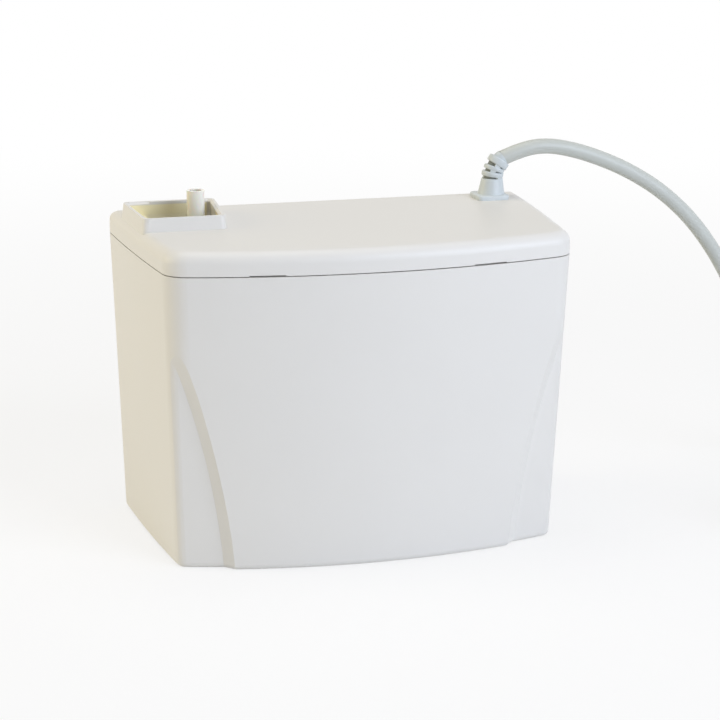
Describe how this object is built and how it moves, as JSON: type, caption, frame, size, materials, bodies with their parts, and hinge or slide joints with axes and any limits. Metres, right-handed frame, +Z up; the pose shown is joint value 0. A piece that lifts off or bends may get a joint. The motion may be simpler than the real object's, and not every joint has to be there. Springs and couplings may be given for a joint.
{
  "type": "condensate pump",
  "caption": "Tank-type condensate pump: bowed plastic casing, lid with square inlet collar, shaded-pole motor, centrifugal pump, float switch, check valve and mains lead.",
  "frame": {"origin": "middle of the casing's width and depth at the height of its underside", "axes": "+X towards the mains gland along the casing's width, +Y towards the flat back that goes against a wall, +Z up"},
  "size_m": [0.3984, 0.137, 0.1557],
  "materials": {
    "casing_plastic": "fine satin grain, warm off-white",
    "deck_plastic": "moulded, off-white",
    "pump_plastic": "moulded, black",
    "impeller_plastic": "moulded, natural",
    "core_steel": "stacked laminations",
    "zinc_steel": "zinc plated",
    "copper": "bare copper",
    "winding": "enamelled copper wire",
    "bronze": "sintered bronze",
    "brass": "plain brass",
    "rubber": "dull black",
    "natural_plastic": "translucent natural",
    "float_foam": "closed-cell foam, white",
    "switch_plastic": "moulded, black",
    "button_plastic": "moulded, red",
    "block_plastic": "moulded, natural",
    "cord_sheath": "soft grey-white sheath",
    "lead_sheath": "insulated leads",
    "gland_plastic": "moulded, grey-white",
    "plug_plastic": "moulded, grey-white"
  },
  "bodies": {
    "casing": {"tank": "casing_plastic", "deck": "deck_plastic", "inlet_chute": "deck_plastic", "deck_screws": "zinc_steel", "pump_housing": "pump_plastic", "housing_screws": "zinc_steel", "intake_cover": "pump_plastic", "stator_core": "core_steel", "shading_rings": "copper", "coil_bobbin": "impeller_plastic", "coil_winding": "winding", "thermal_cutout": "switch_plastic", "upper_bracket": "zinc_steel", "lower_bracket": "zinc_steel", "upper_bush": "bronze", "lower_bush": "bronze", "motor_screws": "zinc_steel", "motor_nuts": "zinc_steel", "rubber_mounts": "rubber", "check_valve_body": "pump_plastic", "check_valve_cap": "pump_plastic", "discharge_pipe": "natural_plastic", "transfer_hose": "natural_plastic", "hose_clips": "zinc_steel", "float_guide": "deck_plastic", "switch_body": "switch_plastic", "switch_bracket": "zinc_steel", "bracket_screws": "zinc_steel", "switch_screws": "zinc_steel", "terminal_block": "block_plastic", "terminal_screws": "brass", "cord_clamp": "deck_plastic", "cord_tail": "cord_sheath", "mains_leads": "lead_sheath", "power_cord_drop": "cord_sheath", "power_cord_plug_end": "cord_sheath", "power_cord_coil": "cord_sheath", "plug_body": "plug_plastic", "plug_contacts": "zinc_steel", "plug_pins": "brass", "plug_boot": "plug_plastic"},
    "lid": {"lid": "casing_plastic", "cord_gland": "gland_plastic", "power_cord_arch": "cord_sheath", "cord_drop": "cord_sheath"},
    "rotor": {"motor_shaft": "zinc_steel", "rotor_core": "core_steel", "cooling_fan": "deck_plastic", "impeller": "impeller_plastic"},
    "float": {"float_body": "float_foam", "float_stem": "impeller_plastic", "stem_clip": "zinc_steel"},
    "switch_lever": {"switch_lever": "zinc_steel"},
    "switch_button": {"switch_button": "button_plastic"},
    "check_ball": {"check_ball": "rubber"}
  },
  "joints": [
    {"name": "lid_lift", "type": "slide", "parent": "casing", "child": "lid", "axis": [0, 0, 1], "range_m": [0, 0.06], "deforming": ["cord_drop"]},
    {"name": "rotor_spin", "type": "hinge", "parent": "casing", "child": "rotor", "pos_m": [0.01, -0.006, 0.09], "axis": [0, 0, 1], "continuous": true},
    {"name": "float_rise", "type": "slide", "parent": "casing", "child": "float", "axis": [0, 0, 1], "range_m": [0, 0.008]},
    {"name": "switch_lever_tilt", "type": "hinge", "parent": "casing", "child": "switch_lever", "pos_m": [0.06, 0.024, 0.0945], "axis": [-1, 0, 0], "range_deg": [0, 12.8]},
    {"name": "switch_button_press", "type": "slide", "parent": "casing", "child": "switch_button", "axis": [0, 0, 1], "range_m": [0, 0.00112]},
    {"name": "check_ball_lift", "type": "slide", "parent": "casing", "child": "check_ball", "axis": [0, 0, 1], "range_m": [0, 0.004]}
  ],
  "couplings": [
    {"joint": "switch_lever_tilt", "follows": "float_rise", "rad_per_m": 27.778},
    {"joint": "switch_button_press", "follows": "float_rise", "ratio": 0.13889}
  ]
}
